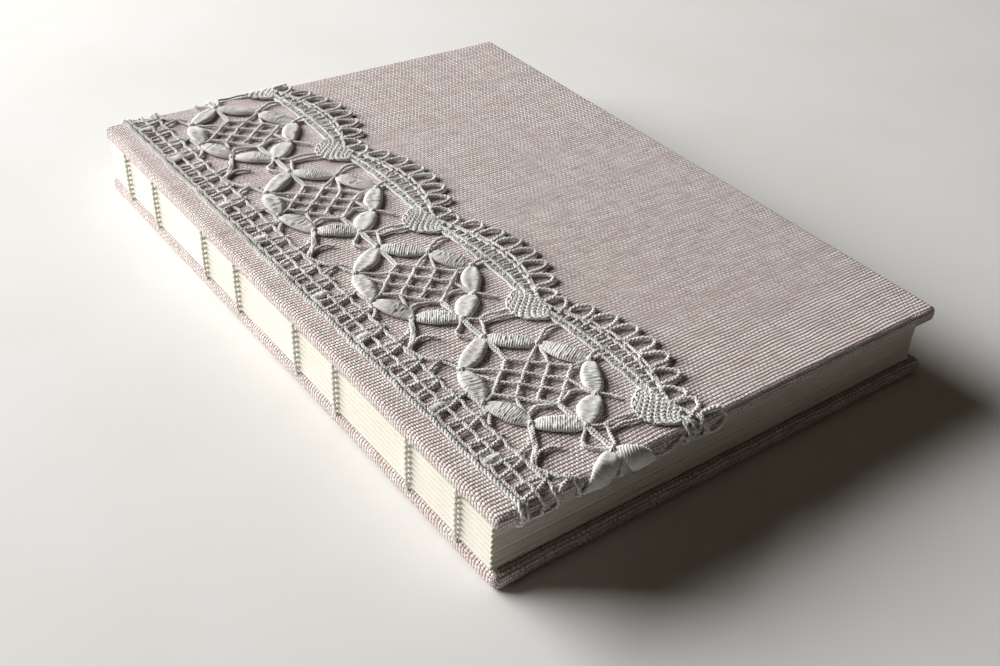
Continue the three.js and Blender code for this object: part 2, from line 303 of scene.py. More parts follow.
# Flecks of straw and dark slubs lie along the weft here and there.
fleck_place = node(tree, "VectorMath", {0: counted, 1: (0.32, 1.0, 1)}, operation="MULTIPLY").outputs[0]
flecks = node(tree, "TexNoise", {"Vector": fleck_place, "Scale": 0.55, "Detail": 0.0}, noise_dimensions="2D")
tree.links.new(
    toned(tree, flecks.outputs[0], 0.82, 0.9, cloth_colour_with_painted_gap_shade, linear("8a746a"), most=0.4),
    shader.inputs["Base Color"])
relief = node(tree, "Math", {0: fibres.outputs[0], 1: 0.5, 2: weave}, operation="MULTIPLY_ADD").outputs[0]
bump = node(tree, "Bump", {"Height": relief, "Strength": 1.0, "Distance": 0.2 * MM})
tree.links.new(bump.outputs[0], shader.inputs["Normal"])
shader.inputs["Roughness"].default_value = 0.9
shader.inputs["Sheen Weight"].default_value = 0.12
shader.inputs["Sheen Roughness"].default_value = 0.5
shader.inputs["Specular IOR Level"].default_value = 0.25


def box_mm(name):
    """A CAD node's lowest and highest corners in millimetres."""
    low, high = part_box(name)
    return np.array(low) / MM, np.array(high) / MM


for side, up in (("back", False), ("front", True)):
    low, high = box_mm(f"{side}_cover_cloth")
    cloth, cut_size = wrapped_cover(f"{side}_linen", low, high, up)
    finish_with(cloth, linen)
    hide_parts(f"{side}_cover_cloth")
    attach(cloth, f"{side}_cover")


# ---------------------------------------------------------------------------------------------
# Endpapers: one leaf of cream laid paper pasted inside each cover over the turn-ins, rubbed down so that
# the step of the cloth shows through. They keep their CAD shape.
# Rag paper is uncoated: it is matt and faintly mottled, and its fibres let a little light in.
paper, tree, shader = material("cream_rag_paper")
place = node(tree, "TexCoord").outputs["Object"]
mottle_size, fibre_length = 14.0, 0.6
mottle = node(tree, "TexNoise", {"Vector": place, "Scale": 1 / (mottle_size * MM), "Detail": 3.0})
fibre = node(tree, "TexNoise", {"Vector": place, "Scale": 1 / (fibre_length * MM), "Detail": 4.0})
tone = node(
    tree, "Math", {0: fibre.outputs[0], 1: 0.5, 2: mottle.outputs[0]}, operation="MULTIPLY_ADD").outputs[0]
tree.links.new(
    toned(tree, tone, 0.5, 1.0, linear("ded8cb"), linear("e6e1d6")),
    shader.inputs["Base Color"])
bump = node(tree, "Bump", {"Height": fibre.outputs[0], "Strength": 0.35, "Distance": 0.05 * MM})
tree.links.new(bump.outputs[0], shader.inputs["Normal"])
shader.inputs["Roughness"].default_value = 0.82
shader.inputs["Specular IOR Level"].default_value = 0.3
shader.inputs["Subsurface Weight"].default_value = 0.05
shader.inputs["Subsurface Scale"].default_value = 0.3 * MM
for name in ("back_endpaper", "front_endpaper"):
    finish_with(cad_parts[name], paper)


# ---------------------------------------------------------------------------------------------
# Sections: eight gatherings of five sheets folded once and nested, about 0.14 mm a leaf. Each fold is round
# at the back, and the leaves lie a little unevenly, so their edges show as fine lines.
sheets, leaf_thick = 5, 0.135
leaf_lift = 0.028  # height of the slow wave in each leaf
fold_points, leaf_points, length_points = 9, 12, 40


def folded_sheet(low, high, level, seed):
    """A folded sheet at a level from 0 (outermost) to 1 (innermost) of its section. Its section is a U of
    constant thickness: out from the fore-edge along the lower leaf, half round the fold and back; the U
    runs from tail to head, and a slow wave lifts each leaf a few hundredths of a millimetre."""
    rng = np.random.default_rng(seed)
    half = (high[2] - low[2]) / 2
    outer = half * (1 - level) + (leaf_thick + 0.03) * level  # outside of the fold
    middle_x, middle_z = low[0] + half, (low[2] + high[2]) / 2
    reach = high[0] + rng.uniform(-0.12, 0.0) - 0.25 * level
    turn = np.linspace(-math.pi / 2, -1.5 * math.pi, fold_points)
    run = np.linspace(reach, middle_x, leaf_points)[:-1]
    ring = []
    for radius in (outer, outer - leaf_thick):
        xs = np.concatenate([run, middle_x + radius * np.cos(turn) * (half / outer), run[::-1]])
        zs = np.concatenate([
            np.full(len(run), -radius), radius * np.sin(turn), np.full(len(run), radius)])
        ring.append(np.stack([xs, zs], axis=-1))
    ring[1][:, 0] = np.maximum(ring[1][:, 0], ring[0][:, 0] + leaf_thick * (np.abs(ring[1][:, 1]) < half))
    ring[1][: len(run), 0], ring[1][-len(run):, 0] = run, run[::-1]
    outline = np.concatenate([ring[0], ring[1][::-1]])
    y = np.linspace(low[1] + rng.uniform(0, 0.15), high[1] - rng.uniform(0, 0.15), length_points)
    phase = rng.uniform(0, 6.28, 4)
    leaf = np.clip((outline[:, 0] - middle_x) / 20, 0, 1)[None, :]
    wave = leaf_lift * leaf * (
        np.sin(y[:, None] / 17 + phase[0] + outline[None, :, 0] / 23)
        + np.sin(y[:, None] / 7.3 + phase[1]) * 0.5)
    x = np.broadcast_to(outline[:, 0], wave.shape)
    z = middle_z + outline[:, 1][None, :] + wave
    points = np.dstack([x, np.broadcast_to(y[:, None], x.shape), z])
    faces = grid_faces(length_points, len(outline), closed=True)
    count = len(outline)
    step = np.arange(count // 2 - 1)
    cap = np.stack([step, step + 1, count - 2 - step, count - 1 - step], axis=-1)
    last = (length_points - 1) * count
    return points.reshape(-1, 3), np.concatenate([faces[:, ::-1], cap, last + cap[:, ::-1]])


def joined(parts):
    """Several (points, faces) as one, with the faces renumbered."""
    points, faces, start = [], [], 0
    for some_points, some_faces in parts:
        points.append(np.asarray(some_points).reshape(-1, 3))
        faces.append(np.asarray(some_faces) + start)
        start += len(points[-1])
    return np.concatenate(points), np.concatenate(faces)


section_count = 8
for i in range(1, section_count + 1):
    low, high = box_mm(f"section_{i}")
    nest = [folded_sheet(low, high, k / (sheets - 1), seed=100 * i + k) for k in range(sheets)]
    leaves = piece(f"leaves_{i}", *joined(nest), crisp=40)
    finish_with(leaves, paper)
    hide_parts(f"section_{i}")
    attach(leaves, f"section_{i}")


# ---------------------------------------------------------------------------------------------
# Sewing: off-white waxed linen thread, run inside each fold and out at eight stations. Outside, its chain
# stitches hook each section to the next and end in the cover's edge; each set of links lies across one hinge.
thread_thick = 0.56
link_half_width = 0.42
link_overlap = 0.46  # how far a link reaches past the holes above and below it
link_stand, link_lean = 0.4, 0.26  # its middle from the folds, and how far it leans out and in
chain_bow = 0.12  # how far the chain bows out at the middle of the spine


def tubes(paths, radius, sides=6):
    """Round tubes along paths, an array of tube by point by (x, y, z). Each ring of points stands square to
    the path, with its first direction level, and two or more quads close each end."""
    paths = np.asarray(paths, float)
    tangent = np.gradient(paths, axis=1)
    tangent /= np.linalg.norm(tangent, axis=-1, keepdims=True) + 1e-12
    flat = np.cross(tangent, [0.0, 0.0, 1.0])
    steep = np.linalg.norm(flat, axis=-1, keepdims=True) < 0.05
    flat = np.where(steep, np.cross(tangent, [1.0, 0.0, 0.0]), flat)
    flat /= np.linalg.norm(flat, axis=-1, keepdims=True) + 1e-12
    up = np.cross(flat, tangent)
    angle = np.arange(sides) * 2 * math.pi / sides
    thick = np.broadcast_to(radius, paths.shape[:2])[..., None, None]
    rings = paths[:, :, None] + thick * (
        flat[:, :, None] * np.cos(angle)[:, None] + up[:, :, None] * np.sin(angle)[:, None])
    count, length = paths.shape[:2]
    one = grid_faces(length, sides, closed=True)
    step = np.arange(sides // 2 - 1)
    cap = np.stack([step, step + 1, sides - 2 - step, sides - 1 - step], axis=-1)
    one = np.concatenate([one[:, ::-1], cap, (length - 1) * sides + cap[:, ::-1]])
    faces = one[None] + (np.arange(count) * length * sides)[:, None, None]
    return rings.reshape(-1, 3), faces.reshape(-1, 4)


def rings_of(paths, radius, sides=6):
    """Round tubes along closed paths: as tubes, with the last point of each path joined to its first."""
    paths = np.asarray(paths, float)
    tangent = np.roll(paths, -1, axis=1) - np.roll(paths, 1, axis=1)
    tangent /= np.linalg.norm(tangent, axis=-1, keepdims=True)
    centre = paths.mean(axis=1, keepdims=True)
    out = paths - centre
    flat = np.cross(tangent, out)
    flat /= np.linalg.norm(flat, axis=-1, keepdims=True)
    up = np.cross(flat, tangent)
    angle = np.arange(sides) * 2 * math.pi / sides
    rings = paths[:, :, None] + radius * (
        flat[:, :, None] * np.cos(angle)[:, None] + up[:, :, None] * np.sin(angle)[:, None])
    count, length = paths.shape[:2]
    one = grid_faces(length + 1, sides, closed=True) % (length * sides)
    faces = one[None, :, ::-1] + (np.arange(count) * length * sides)[:, None, None]
    return rings.reshape(-1, 3), faces.reshape(-1, 4)


# Wax lays the thread's hairs down, so it has a soft shine, and light goes a short way into it.
waxed_thread, tree, shader = material("waxed_linen_thread")
place = node(tree, "TexCoord").outputs["Object"]
ply_size = 0.35
plies = node(tree, "TexNoise", {"Vector": place, "Scale": 1 / (ply_size * MM), "Detail": 3.0})
tree.links.new(
    toned(tree, plies.outputs[0], 0.3, 0.7, linear("dad7cb"), linear("f6f4ee")),
    shader.inputs["Base Color"])
bump = node(tree, "Bump", {"Height": plies.outputs[0], "Strength": 0.4, "Distance": 0.08 * MM})
tree.links.new(bump.outputs[0], shader.inputs["Normal"])
shader.inputs["Roughness"].default_value = 0.55
shader.inputs["Subsurface Weight"].default_value = 0.3
shader.inputs["Subsurface Scale"].default_value = 0.4 * MM
shader.inputs["Subsurface Radius"].default_value = (1.0, 0.95, 0.9)
for name in ("back_cover_thread", "front_cover_thread"):
    finish_with(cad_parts[name], waxed_thread)

run_low = box_mm("sewing_thread_4")[0]
cover_low, cover_high = box_mm("front_cover_cloth")
cover_length = cover_high[1] - cover_low[1]
first_station, pair_spacing = 15.5, 20.5
pair_centres = np.linspace(-1, 1, 4) * (cover_length / 2 - first_station - pair_spacing / 2)
stations = np.concatenate([pair_centres - pair_spacing / 2, pair_centres + pair_spacing / 2])


def fold_hole(i):
    """The height of a section's holes, at the middle of its fold."""
    low, high = box_mm(f"section_{i}")
    return (low[2] + high[2]) / 2


def chain_links(top, bottom, fold_x, bow):
    """One closed link at each station, between the holes at heights top and bottom: an upright oval, wider
    at its top, that leans out from the fold at its top and in at its bottom, so links overlap like scales."""
    turn = np.linspace(0, 2 * math.pi, 24, endpoint=False)
    rise = np.cos(turn)
    mid, half = (top + bottom) / 2, (top - bottom) / 2 + link_overlap
    y = link_half_width * np.sin(turn) * (0.8 + 0.45 * rise)
    x = fold_x - link_stand - bow - link_lean * rise
    z = mid + half * rise
    return np.stack([
        np.broadcast_to(x, (len(stations), len(x))), stations[:, None] + y,
        np.broadcast_to(z, (len(stations), len(z))),
    ], axis=-1)


fold_x = run_low[0] + 1.2  # back of the folds, behind the links' outer side
holes = [fold_hole(i) for i in range(1, section_count + 1)]
front_hole = box_mm("front_cover_thread")[0][2]
back_hole = box_mm("back_cover_thread")[0][2] + 0.3
heights = [front_hole] + holes + [back_hole]
for i in range(section_count + 1):
    share = (i + 0.5) / (section_count + 1)
    bow = chain_bow * math.sin(math.pi * share)
    links = piece(f"chain_stitches_{i + 1}", *rings_of(
        chain_links(heights[i], heights[i + 1], fold_x, bow), thread_thick / 2))
    finish_with(links, waxed_thread)
    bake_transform(links)

for i in range(1, section_count + 1):
    hole = holes[i - 1]
    low, high = box_mm(f"section_{i}")
    run_x = low[0] + (high[2] - low[2]) / 2
    ends = np.linspace(stations.min(), stations.max(), 60)
    inside = np.stack([np.full_like(ends, run_x + 0.1), ends, np.full_like(ends, hole)], axis=-1)[None]
    exits = np.stack([
        np.broadcast_to(np.linspace(run_x + 0.1, fold_x - 0.55, 6), (len(stations), 6)),
        np.broadcast_to(stations[:, None], (len(stations), 6)),
        np.full((len(stations), 6), hole),
    ], axis=-1)
    sewing = piece(f"sewing_run_{i}", *joined([tubes(inside, 0.26), tubes(exits, 0.28)]))
    finish_with(sewing, waxed_thread)
    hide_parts(f"sewing_thread_{i}")
    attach(sewing, f"section_{i}")


# ---------------------------------------------------------------------------------------------
# Lace: a cluny lace of undyed cotton, worked with plaits on a pillow. From the spine side: a thick plait, a
# ground of square meshes, rings of plump leaves round a plaited net, and a scalloped headside.
lace_repeat, first_ring = 51.0, 34.2  # one scallop, and the first ring's centre from the tail edge
lace_base = 0.12
spine_edge, tail_edge = cover_low[0], cover_low[1]
cover_top, cover_under = cover_high[2], cover_low[2]
arc = cloth_radius * math.pi / 2
edge_wall = cover_top - cover_under - 2 * cloth_radius
lace_turned = cloth_radius + 2 * arc + edge_wall + 0.5 - 2 * cloth_radius  # lace beyond the cover's edge
lace_low, lace_high = -lace_turned, cover_length + lace_turned


def laid(flat):
    """Places lace drawn flat on the cover: u from the spine edge, v from the tail edge, h off the cloth.
    Past the head and tail it follows the cover's section: a quarter round, down the edge, a quarter round
    and back underneath."""
    u, v, h = np.moveaxis(np.asarray(flat, float), -1, 0)
    at_head = v > cover_length / 2
    past = np.where(at_head, v - (cover_length - cloth_radius), cloth_radius - v)
    first = np.clip(past, 0, arc) / cloth_radius
    down = np.clip(past - arc, 0, edge_wall)
    second = np.clip(past - arc - edge_wall, 0, arc) / cloth_radius
    under = np.maximum(past - 2 * arc - edge_wall, 0)
    level = np.minimum(past, 0)
    swing = np.where(second > 0, math.pi / 2 + second, first)
    out = level + (cloth_radius + h) * np.sin(swing) - under
    down_to = np.where(
        second > 0,
        cover_under + cloth_radius + (cloth_radius + h) * np.cos(swing),
        cover_top - cloth_radius + (cloth_radius + h) * np.cos(swing) - down,
    )
    y = np.where(at_head, cover_length - cloth_radius + out, cloth_radius - out)
    return np.stack([spine_edge + u, tail_edge + y, down_to], axis=-1)


def resampled(points, count):
    """A line of points as count points evenly spaced along it."""
    points = np.asarray(points, float)
    along = np.concatenate([[0], np.cumsum(np.linalg.norm(np.diff(points, axis=0), axis=1))])
    at = np.linspace(0, along[-1], count)
    return np.stack([np.interp(at, along, points[:, k]) for k in range(points.shape[1])], axis=-1)


def plaits(lines, width=0.95, strands=3, step=0.33, wander=0.09):
    """Plaits along flat lines of (u, v), with strands that swing across the line once a period and pass over
    and under each other twice: across is the cosine of the turn and height the sine of twice it. Each plait
    wanders a little from its line. Lines of the same number of steps are made together."""
    made, by_count = [], {}
    for line in lines:
        line = np.asarray(line, float)
        long = np.linalg.norm(np.diff(line, axis=0), axis=1).sum()
        count = max(6, int(long / step) // 5 * 5 + 1)
        by_count.setdefault(count, []).append(resampled(line, count))
    strand = width * 0.275
    for count, group in by_count.items():
        flat = np.stack(group)
        gap = np.linalg.norm(np.diff(flat, axis=1), axis=-1, keepdims=True)
        along = np.concatenate([np.zeros((len(flat), 1, 1)), np.cumsum(gap, axis=1)], axis=1)
        tangent = np.gradient(flat, axis=1)
        tangent /= np.linalg.norm(tangent, axis=-1, keepdims=True) + 1e-9
        side = np.stack([-tangent[..., 1], tangent[..., 0]], axis=-1)
        seed = flat[:, :1, :1] * 3.7 + flat[:, :1, 1:] * 1.3
        flat = flat + side * wander * (np.sin(along * 1.15 + seed) + 0.6 * np.sin(along * 2.9 + seed * 2))
        lift = lace_base + strand * 1.65 + 0.1 * (1 + np.sin(along * 0.8 + seed * 1.7))
        for k in range(strands):
            turn = 2 * math.pi * (along / (2.7 * width) + k / strands) + seed
            place = flat + side * (width / 2 - strand) * np.cos(turn)
            height = lift + strand * 0.7 * np.sin(2 * turn)
            made.append(tubes(np.concatenate([place, height], axis=-1), strand, sides=5))
    return joined(made)


def beside(line, gap):
    """A line moved sideways by a gap."""
    line = np.asarray(line, float)
    tangent = np.gradient(line, axis=0)
    tangent /= np.linalg.norm(tangent, axis=-1, keepdims=True)
    return line + gap * np.stack([-tangent[:, 1], tangent[:, 0]], axis=-1)


def picot(place, radius, turn=0.0):
    """A small open loop of a plait, as a flat line round a place."""
    angle = turn + np.linspace(0, 1.8 * math.pi, 9)
    return np.asarray(place) + radius * np.stack([np.cos(angle), np.sin(angle)], axis=-1)


def lace_piece(name, parts):
    """A piece of the lace from flat points and faces: faces past the turned-in ends are left off."""
    points, faces = joined(parts)
    kept = faces[((points[faces][..., 1] > lace_low) & (points[faces][..., 1] < lace_high)).all(axis=1)]
    used, renumbered = np.unique(kept, return_inverse=True)
    made = piece(name, laid(points[used]), renumbered.reshape(kept.shape))
    finish_with(made, lace_cotton)
    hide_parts("lace_band")
    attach(made, "front_cover")
    return made


# Undyed spun cotton is matt and a little hairy, greyer where it is handled, and soft in its shadows.
lace_cotton, tree, shader = material("undyed_cotton_lace")
place = node(tree, "TexCoord").outputs["Object"]
yarn_hair, soil_size = 0.22, 9.0
hair = node(tree, "TexNoise", {"Vector": place, "Scale": 1 / (yarn_hair * MM), "Detail": 3.0})
soil = node(tree, "TexNoise", {"Vector": place, "Scale": 1 / (soil_size * MM), "Detail": 2.0})
tone = node(
    tree, "Math", {0: hair.outputs[0], 1: 0.8, 2: soil.outputs[0]}, operation="MULTIPLY_ADD").outputs[0]
tree.links.new(
    toned(tree, tone, 0.55, 1.2, linear("cbc8c3"), linear("faf8f4")),
    shader.inputs["Base Color"])
bump = node(tree, "Bump", {"Height": hair.outputs[0], "Strength": 0.9, "Distance": 0.14 * MM})
tree.links.new(bump.outputs[0], shader.inputs["Normal"])
shader.inputs["Roughness"].default_value = 0.9
shader.inputs["Sheen Weight"].default_value = 0.2
shader.inputs["Specular IOR Level"].default_value = 0.25
shader.inputs["Subsurface Weight"].default_value = 0.2
shader.inputs["Subsurface Scale"].default_value = 0.4 * MM
shader.inputs["Subsurface Radius"].default_value = (1.0, 0.95, 0.9)

ring_centres = [first_ring + lace_repeat * k for k in range(-1, 5)]
between_rings = [v + lace_repeat / 2 for v in ring_centres]

# Footside and ground: a thick plait, then three lengthwise plaits. Rows cross them every 4.25 mm; every
# second row climbs towards the head, and the others drop a little and end in a small loop near the rings.
foot_u, ground_u = 6.1, (7.8, 11.6, 15.6)
row_gap, row_climb = lace_repeat / 12, (2.3, -0.7)
whole = np.linspace(lace_low, lace_high, 320)
row_places = [(v, row_climb[k % 2]) for k, v in enumerate(np.arange(lace_low - 2.0, lace_high, row_gap))]


def crossed(line):
    """The part of a line between the turned-in ends of the lace, or nothing."""
    line = np.asarray(line, float)
    return [line] if lace_low < line[:, 1].min() and line[:, 1].max() < lace_high else []


edge_plaits = plaits([np.stack([foot_u + 0.12 * np.sin(whole / 4.1), whole], axis=-1)], width=1.35)
lengthwise = [
    np.stack([u + 0.22 * np.sin(whole * 2 * math.pi / row_gap + k * 2), whole], axis=-1)
    for k, u in enumerate(ground_u)]
rows, loops_in, hooks = [], [], []
for v, climb in row_places:
    rows += crossed([(ground_u[0] - 0.3, v), (ground_u[1], v + climb * 0.35), (ground_u[2] + 0.3, v + climb)])
    hooks += crossed([(foot_u + 0.2, v - 1.2), (ground_u[0], v - 0.1)])
    hooks += crossed([(ground_u[0], v + 0.1), (foot_u + 0.2, v + 1.3)])
    if climb < 0:
        loops_in += crossed(picot((ground_u[2] + 0.75, v + climb), 0.62, math.pi))
for centre in ring_centres:
    for v, climb in row_places:
        if abs(v + climb - centre + 0.8) < 6.5:
            rows += crossed([(ground_u[2], v + climb), (18.7, v + climb * 1.3)])
    rows += crossed([
        (16.0, centre - 8.4), (18.3, centre - 5.5), (18.9, centre), (18.3, centre + 4.6),
        (16.0, centre + 7.4)])
lace_piece("lace_footside_and_ground", [
    edge_plaits, plaits(lengthwise, width=1.0), plaits(rows, width=1.05),
    plaits(hooks + loops_in, width=0.75)])


def leaf(start, end, width, rise, bulge, seed, ribs=21, lobes=4, rib_depth=0.1, groove_depth=0.1,
         blunt=0.42):
    """A woven leaf from start to end: a plump closed form, widest in the middle, with a fine rib across it
    for each pass of the weaver. Its section is a flattened round, fuller on top, with shallow grooves along
    it."""
    rng = np.random.default_rng(seed)
    start, end = np.asarray(start, float), np.asarray(end, float)
    rows, sides = ribs * 4 + 1, 22
    s = np.linspace(0, 1, rows)
    long = np.linalg.norm(end - start)
    direction = (end - start) / long
    side = np.array([-direction[1], direction[0]])
    taper = np.sin(math.pi * np.clip(s, 0.003, 0.997)) ** blunt
    lean = rng.uniform(-0.12, 0.12)
    wave = rng.uniform(0, 6, 3)
    fibre = rng.normal(size=(rows, sides))
    fibre = 1 + 0.06 * sum(np.roll(fibre, k, axis=0) for k in range(3)) * taper[:, None]
    half = width / 2 * taper * (1 + 0.04 * np.sin(s * 9 + wave[0]) + lean * (s - 0.5)) + 0.15
    high = rise * (0.3 + 0.7 * taper) * (1 + 0.05 * np.sin(s * 7 + wave[1]))
    centre = start + direction * (s * long)[:, None] + side * (bulge * np.sin(math.pi * s))[:, None]
    angle = np.linspace(0, 2 * math.pi, sides, endpoint=False)
    slant = s[:, None] * ribs * 2 * math.pi + 0.9 * np.cos(angle) * math.copysign(1, lean)
    rib = 1 + rib_depth * np.sin(slant) * taper[:, None]
    lobe_turn = angle * lobes + 0.3 * np.sin(s * 11 + wave[2])[:, None]
    groove = 1 - groove_depth * np.cos(lobe_turn) * (np.sin(angle) > 0)
    across = np.cos(angle) * half[:, None] * (1 + 0.45 * (rib - 1))
    upper = np.abs(np.sin(angle)) ** 0.7 * groove * rib * fibre
    up = np.where(np.sin(angle) > 0, upper, np.sin(angle) * 0.3) * high[:, None]
    points = np.dstack([
        centre[:, None, 0] + side[0] * across, centre[:, None, 1] + side[1] * across,
        lace_base + 0.42 * high[:, None] + up * 0.72])
    faces = grid_faces(rows, sides, closed=True)
    step = np.arange(sides // 2 - 1)
    cap = np.stack([step, step + 1, sides - 2 - step, sides - 1 - step], axis=-1)
    return points.reshape(-1, 3), np.concatenate([faces, cap[:, ::-1], (rows - 1) * sides + cap])


def knot(place, size=0.62, rise=0.5):
    """A small round knot where plaits cross: a flattened ball."""
    tilt = np.linspace(-math.pi / 2, math.pi / 2, 6)
    turn = np.linspace(0, 2 * math.pi, 8, endpoint=False)
    points = np.dstack([
        place[0] + size * np.cos(tilt)[:, None] * np.cos(turn),
        place[1] + size * np.cos(tilt)[:, None] * np.sin(turn),
        np.broadcast_to(lace_base + rise + size * 0.7 * np.sin(tilt)[:, None], (6, 8))])
    return points.reshape(-1, 3), grid_faces(6, 8, closed=True)


def wrapping(place, size, seed):
    """A worked knot: a ball with three short turns of plait over it."""
    rng = np.random.default_rng(seed)
    parts = [knot(place, size, 0.55)]
    for k in range(3):
        angle = rng.uniform(0, 0.6) + k * math.pi / 3
        arm = size * 1.25 * np.array([math.cos(angle), math.sin(angle)])
        s = np.linspace(-1, 1, 9)[:, None]
        path = np.hstack([np.asarray(place) + arm * s, lace_base + 0.45 + (size * 0.85) * (1 - s ** 2)])
        parts.append(tubes(path[None], 0.2, sides=5))
    return joined(parts)


tally_spacing = 55.3  # from one pair of tallies to the next
tally_places = [v + tally_spacing * k for k in range(4) for v in (16.0, 38.0)]
tallies = [
    leaf((ground_u[0] - 0.6, v), (ground_u[1] + 1.2, v + 0.4), 2.2, 0.95, 0.0, seed=int(v), ribs=5, lobes=9,
         blunt=0.25)
    for v in tally_places]
lace_piece("lace_ground_tallies", tallies)

# Rings: eight leaves between eight knots, round a plaited net of four by four crossings, tied in by plaits.
# Places are (from the spine edge, from the ring's centre towards the head).
ring_knots = np.array([
    (34.8, 20.7), (45.4, 11.4), (52.0, -0.8), (44.4, -12.4), (35.0, -20.5), (24.4, -13.2), (19.8, -0.8),
    (22.9, 12.5)])
leaf_widths = (5.3, 6.0, 5.3, 5.6, 5.7, 5.7, 5.4, 5.1)
leaf_ribs = (0.12, 0.09, 0.07, 0.07, 0.12, 0.08, 0.08, 0.07)
leaf_grooves = (0.10, 0.10, 0.17, 0.14, 0.10, 0.12, 0.14, 0.17)
net_top, net_right, net_left, net_bottom = (34.4, 10.3), (46.4, -1.0), (23.6, 0.6), (34.6, -11.2)
ring_middle = 34.6  # from the spine edge
unevenness = 0.3  # how far knots and crossings lie from their places, at most
leaves, net_lines, spokes, knots = [], [], [], []
for number, centre in enumerate(ring_centres):
    rng = np.random.default_rng(900 + number)
    corners = ring_knots + [0, centre] + rng.uniform(-unevenness, unevenness, ring_knots.shape)
    for a in range(8):
        start, end = corners[a], corners[(a + 1) % 8]
        along = (end - start) / np.linalg.norm(end - start)
        leaves.append(leaf(
            start + along * 0.35, end - along * 0.35, leaf_widths[a] + rng.uniform(-0.25, 0.25), 1.25, -0.45,
            seed=8 * number + a, rib_depth=leaf_ribs[a], groove_depth=leaf_grooves[a]))
        knots.append(wrapping(corners[a], 0.95, seed=50 + 8 * number + a))
    i, j = (g[..., None] for g in np.meshgrid(np.linspace(0, 1, 4), np.linspace(0, 1, 4), indexing="ij"))
    top, side, other, low_corner = (np.array(p) for p in (net_top, net_left, net_right, net_bottom))
    net = top + i * (side - top) + j * (other - top) + i * j * (low_corner - side - other + top)
    net = net + [0, centre] + rng.uniform(-unevenness, unevenness, net.shape)
    net_lines += [net[k] for k in range(4)] + [net[:, k] for k in range(4)]
    knots += [knot(p, 0.62, 0.42) for p in net.reshape(-1, 2)]
    for start, end in ((corners[0], net[0, 0]), (corners[4], net[3, 3])):
        spokes += [beside([start, end], 0.36), beside([start, end], -0.36)]
    spokes += [
        [corners[2], net[0, 3]], [corners[6], net[3, 0]], [corners[1], net[0, 1]], [corners[1], net[0, 2]],
        [corners[7], net[1, 0]], [corners[7], net[2, 0]], [corners[5], net[3, 1]], [corners[3], net[1, 3]]]
    for mirror, corner in ((-1, corners[5]), (1, corners[3])):
        arch = [(ring_middle + mirror * u, centre + v) for u, v in ((8.2, -9.6), (5.4, -8.5), (2.4, -9.9))]
        spokes.append([corner, *arch, net[3, 3]])
lace_piece("lace_leaves", leaves)
lace_piece("lace_nets", [plaits(net_lines, width=1.12), plaits(spokes, width=1.0), *knots])

# Bars: from each ring a thick double plait runs to the ground's edge and a thin one back to the next ring, a
# pair of plaits joins neighbouring rings, and more plaits hold the headside.
thick_bars, thin_bars, bar_knots = [], [], []
for centre in ring_centres:
    def at(*places):
        """Places from the spine edge and this ring's centre, as points of the lace."""
        return np.array(places) + [0, centre]

    spider = resampled(at((24.4, -13.2), (23.0, -15.4), (21.0, -19.4), (18.4, -22.6), (16.2, -25.0)), 12)
    thick_bars += [beside(spider, 0.28), beside(spider, -0.28)]
    thin_bars += [
        at((16.4, -25.0), (18.2, -23.2), (20.8, -21.9), (23.4, -21.9), (25.4, -23.4)),
        at((15.6, -20.4), (18.0, -19.2), (20.6, -18.6)),
        at((16.2, -25.0), (17.6, -28.8), (19.0, -31.4), (20.7, -32.3), (21.4, -34.4), (22.9, -38.5)),
        at((15.4, -34.8), (17.8, -33.4), (20.6, -32.3)), at((20.7, -32.3), (22.2, -33.4), (22.9, -34.6)),
        at((34.6, -20.8), (32.4, -23.0), (30.6, -24.4), (30.0, -25.8), (31.0, -27.6), (33.6, -29.8)),
        at((35.4, -21.0), (37.4, -22.4), (39.4, -23.0)), at((39.0, -23.2), (37.8, -26.0), (36.2, -29.6)),
        at((38.8, -22.7), (42.0, -22.4), (48.2, -23.2)), at((38.2, -24.9), (42.0, -24.6), (48.2, -25.9)),
        at((52.0, -0.3), (54.4, 0.5), (56.6, 0.9)), at((52.2, -1.4), (54.6, -1.2), (56.9, -1.8)),
        at((44.4, -12.4), (46.8, -14.6), (48.8, -17.0)),
        at((45.4, 11.4), (47.6, 13.6), (50.6, 15.3), (53.2, 15.8), (55.2, 14.6))]
    thick_bars += [at((34.5, -20.6), (34.4, -30.2)), at((35.3, -20.6), (35.2, -30.2))]
    thin_bars += [
        picot(at((20.6, -32.0))[0], 0.75), picot(at((21.0, -18.0))[0], 0.8),
        picot(at((39.3, -22.9))[0], 0.5)]
    bar_knots += [
        at(p)[0] for p in ((20.6, -32.3), (16.2, -25.0), (38.8, -23.2), (30.2, -25.8), (20.6, -19.2))]
lace_piece("lace_bars", [
    plaits(thick_bars, width=1.05), plaits(thin_bars, width=1.0), *[knot(p, 0.66, 0.5) for p in bar_knots]])

# Headside: a trail of plaits bound by two zigzags, rungs with small holes between them, an outer plait that
# carries eight tall loops to a scallop, and a cloth-stitch fan in each valley.
loops_per_scallop, loop_half_width = 8, 2.7


def headside(valley, rise, v):
    """Distance from the spine edge of a line of the scallop at v from the ring's centre."""
    return valley + rise * (1 - (np.asarray(v, float) / (lace_repeat / 2)) ** 2)


